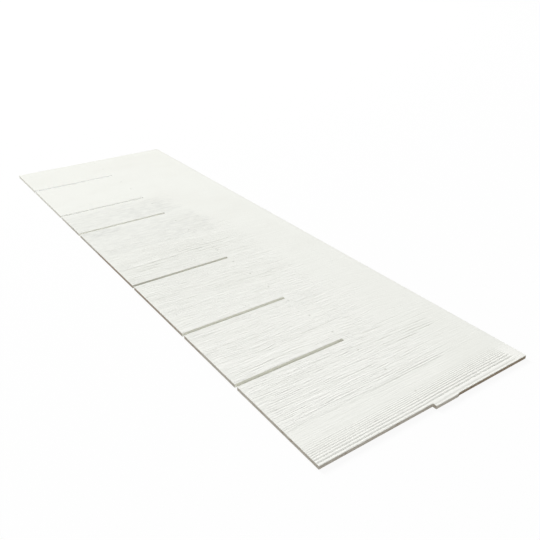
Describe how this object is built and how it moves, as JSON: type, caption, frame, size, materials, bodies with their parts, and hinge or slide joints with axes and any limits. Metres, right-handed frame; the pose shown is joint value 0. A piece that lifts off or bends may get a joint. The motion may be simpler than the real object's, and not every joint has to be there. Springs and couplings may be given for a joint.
{
  "type": "fibre cement shingle panel",
  "caption": "Flat fibre cement siding panel with wood-grain face, keyway slots that split its lower half into mock shingles, and a tab end that gauges the joint to the next panel.",
  "frame": {"origin": "middle of the underside, centre of the bounding box at the level it lies on", "axes": "+X along the course towards the tab end, +Y from the butt edge to the head edge, +Z out of the grained face"},
  "size_m": [1.2192, 0.3874, 0.0063],
  "materials": {
    "primed_fibre_cement": "matte factory primer over embossed wood grain, bare grey-brown fibre cement at the cut edges"
  },
  "bodies": {
    "root": {"shingle_panel": "primed_fibre_cement"}
  },
  "joints": []
}
